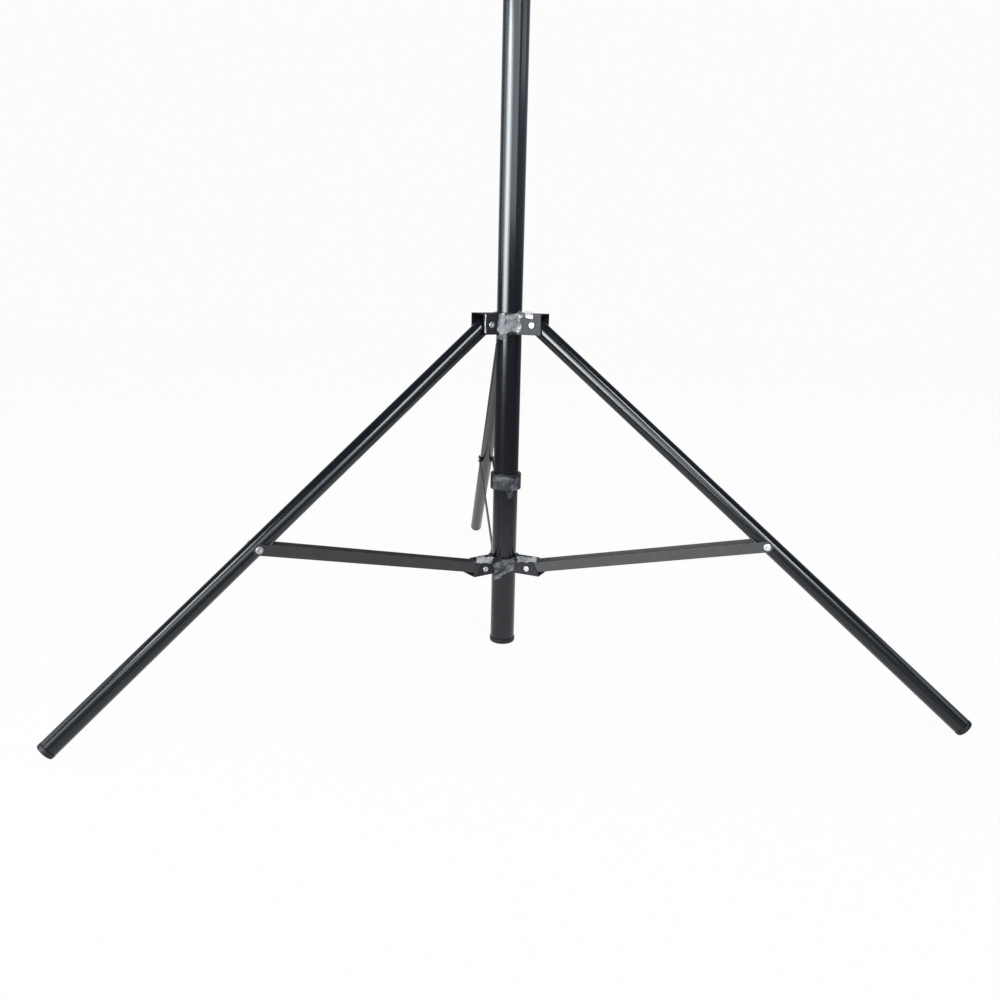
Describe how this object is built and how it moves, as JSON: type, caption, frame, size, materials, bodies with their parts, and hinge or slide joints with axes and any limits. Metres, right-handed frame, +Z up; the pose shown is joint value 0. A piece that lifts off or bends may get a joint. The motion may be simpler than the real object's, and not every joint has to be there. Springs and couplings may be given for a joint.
{
  "type": "light boom stand",
  "caption": "Folding tripod stand with a telescopic column, a sliding leg hub with flat braces, and a tilting telescopic boom arm with a stud for a light.",
  "frame": {"origin": "middle of the flat underside of the column's end cap, on the column's axis", "axes": "+Z up along the column, +X along the boom to its light end, +Y away from the picture's camera along the back leg"},
  "size_m": [1.0878, 0.945, 1.271],
  "materials": {
    "gloss_black_tube": "gloss black coated tube with long mirror-like reflections",
    "satin_black_steel": "satin dark grey painted flat bar",
    "black_plastic": "moulded black plastic, half matt",
    "black_cast_metal": "black painted casting",
    "bright_zinc": "bright zinc plated steel",
    "grey_nylon": "plain grey bearing plastic"
  },
  "bodies": {
    "column": {"column_tube": "gloss_black_tube", "column_end_cap": "black_plastic", "lower_hub": "black_plastic", "lower_hub_screw": "bright_zinc", "stop_collar": "black_plastic", "lower_collar": "black_plastic", "brace_pivot_rivet_back": "bright_zinc", "brace_pivot_rivet_left": "bright_zinc", "brace_pivot_rivet_right": "bright_zinc"},
    "upper_hub": {"upper_hub": "black_plastic", "leg_pivot_rivet_back": "bright_zinc", "leg_pivot_rivet_left": "bright_zinc", "leg_pivot_rivet_right": "bright_zinc"},
    "hub_knob": {"hub_knob": "black_plastic"},
    "leg_back": {"leg_back_tube": "gloss_black_tube", "leg_back_top_plug": "black_plastic", "leg_back_end_cap": "black_plastic", "leg_back_joint_pin": "bright_zinc"},
    "brace_back": {"brace_back_bar_a": "satin_black_steel", "brace_back_bar_b": "satin_black_steel", "brace_back_rivet_a": "bright_zinc", "brace_back_rivet_b": "bright_zinc"},
    "leg_left": {"leg_left_tube": "gloss_black_tube", "leg_left_top_plug": "black_plastic", "leg_left_end_cap": "black_plastic", "leg_left_joint_pin": "bright_zinc"},
    "brace_left": {"brace_left_bar_a": "satin_black_steel", "brace_left_bar_b": "satin_black_steel", "brace_left_rivet_a": "bright_zinc", "brace_left_rivet_b": "bright_zinc"},
    "leg_right": {"leg_right_tube": "gloss_black_tube", "leg_right_top_plug": "black_plastic", "leg_right_end_cap": "black_plastic", "leg_right_joint_pin": "bright_zinc"},
    "brace_right": {"brace_right_bar_a": "satin_black_steel", "brace_right_bar_b": "satin_black_steel", "brace_right_rivet_a": "bright_zinc", "brace_right_rivet_b": "bright_zinc"},
    "lower_collar_knob": {"lower_collar_knob": "black_plastic"},
    "mid_section": {"mid_tube": "gloss_black_tube", "mid_glide": "grey_nylon", "upper_collar": "black_plastic"},
    "upper_collar_knob": {"upper_collar_knob": "black_plastic"},
    "top_section": {"top_tube": "gloss_black_tube", "top_glide": "grey_nylon", "top_spigot": "bright_zinc"},
    "head": {"head_socket": "black_cast_metal", "tilt_nut": "bright_zinc"},
    "head_knob": {"head_knob": "black_plastic"},
    "tilt_knob": {"tilt_knob": "black_plastic"},
    "clamp": {"boom_clamp": "black_cast_metal"},
    "clamp_knob": {"clamp_knob": "black_plastic"},
    "boom_outer": {"boom_outer_tube": "gloss_black_tube", "boom_collar": "black_plastic", "boom_rear_cap": "black_plastic", "weight_hook": "bright_zinc"},
    "boom_knob": {"boom_knob": "black_plastic"},
    "boom_inner": {"boom_inner_tube": "gloss_black_tube", "boom_glide": "grey_nylon", "light_spigot": "bright_zinc"}
  },
  "joints": [
    {"name": "hub_slide", "type": "slide", "parent": "column", "child": "upper_hub", "axis": [0, 0, 1], "range_m": [0, 0.4171]},
    {"name": "leg_back_fold", "type": "hinge", "parent": "upper_hub", "child": "leg_back", "pos_m": [0, 0.0401, 0.4643], "axis": [-1, 0, 0], "range_deg": [0, 51.58]},
    {"name": "brace_back_fold", "type": "hinge", "parent": "column", "child": "brace_back", "pos_m": [0, 0.0426, 0.1228], "axis": [-1, 0, 0], "range_deg": [-76.8, 0]},
    {"name": "leg_left_fold", "type": "hinge", "parent": "upper_hub", "child": "leg_left", "pos_m": [-0.03473, -0.02005, 0.4643], "axis": [0.5, -0.866, 0], "range_deg": [0, 51.58]},
    {"name": "brace_left_fold", "type": "hinge", "parent": "column", "child": "brace_left", "pos_m": [-0.03689, -0.0213, 0.1228], "axis": [0.5, -0.866, 0], "range_deg": [-76.8, 0]},
    {"name": "leg_right_fold", "type": "hinge", "parent": "upper_hub", "child": "leg_right", "pos_m": [0.03473, -0.02005, 0.4643], "axis": [0.5, 0.866, 0], "range_deg": [0, 51.58]},
    {"name": "brace_right_fold", "type": "hinge", "parent": "column", "child": "brace_right", "pos_m": [0.03689, -0.0213, 0.1228], "axis": [0.5, 0.866, 0], "range_deg": [-76.8, 0]},
    {"name": "hub_knob_turn", "type": "hinge", "parent": "upper_hub", "child": "hub_knob", "pos_m": [0, 0, 0.4654], "axis": [-0.866, 0.5, 0], "range_deg": [0, 360]},
    {"name": "lower_collar_knob_turn", "type": "hinge", "parent": "column", "child": "lower_collar_knob", "pos_m": [0, 0, 1.031], "axis": [0, -1, 0], "range_deg": [0, 360]},
    {"name": "mid_slide", "type": "slide", "parent": "column", "child": "mid_section", "axis": [0, 0, 1], "range_m": [0, 0.777]},
    {"name": "upper_collar_knob_turn", "type": "hinge", "parent": "mid_section", "child": "upper_collar_knob", "pos_m": [0, 0, 1.093], "axis": [0, -1, 0], "range_deg": [0, 360]},
    {"name": "top_slide", "type": "slide", "parent": "mid_section", "child": "top_section", "axis": [0, 0, 1], "range_m": [0, 0.758]},
    {"name": "head_pan", "type": "hinge", "parent": "top_section", "child": "head", "pos_m": [0, 0, 1.1186], "axis": [0, 0, 1], "continuous": true},
    {"name": "head_knob_turn", "type": "hinge", "parent": "head", "child": "head_knob", "pos_m": [0, 0, 1.1386], "axis": [0, 1, 0], "range_deg": [0, 360]},
    {"name": "tilt_knob_turn", "type": "hinge", "parent": "head", "child": "tilt_knob", "pos_m": [0, 0, 1.1786], "axis": [0, -1, 0], "range_deg": [0, 360]},
    {"name": "boom_tilt", "type": "hinge", "parent": "head", "child": "clamp", "pos_m": [0, 0, 1.1786], "axis": [0, 1, 0], "range_deg": [-60, 60]},
    {"name": "clamp_knob_turn", "type": "hinge", "parent": "clamp", "child": "clamp_knob", "pos_m": [0, 0, 1.2236], "axis": [0, 0, 1], "range_deg": [0, 360]},
    {"name": "boom_slide", "type": "slide", "parent": "clamp", "child": "boom_outer", "axis": [1, 0, 0], "range_m": [-0.25, 0.35]},
    {"name": "boom_knob_turn", "type": "hinge", "parent": "boom_outer", "child": "boom_knob", "pos_m": [0.361, 0, 1.2236], "axis": [0, -1, 0], "range_deg": [0, 360]},
    {"name": "boom_extend", "type": "slide", "parent": "boom_outer", "child": "boom_inner", "axis": [1, 0, 0], "range_m": [0, 0.55]}
  ],
  "couplings": [
    {"joint": "leg_back_fold", "follows": "hub_slide", "rad_per_m": 2.1575},
    {"joint": "brace_back_fold", "follows": "hub_slide", "rad_per_m": -3.2123},
    {"joint": "leg_left_fold", "follows": "hub_slide", "rad_per_m": 2.1575},
    {"joint": "brace_left_fold", "follows": "hub_slide", "rad_per_m": -3.2123},
    {"joint": "leg_right_fold", "follows": "hub_slide", "rad_per_m": 2.1575},
    {"joint": "brace_right_fold", "follows": "hub_slide", "rad_per_m": -3.2123}
  ]
}
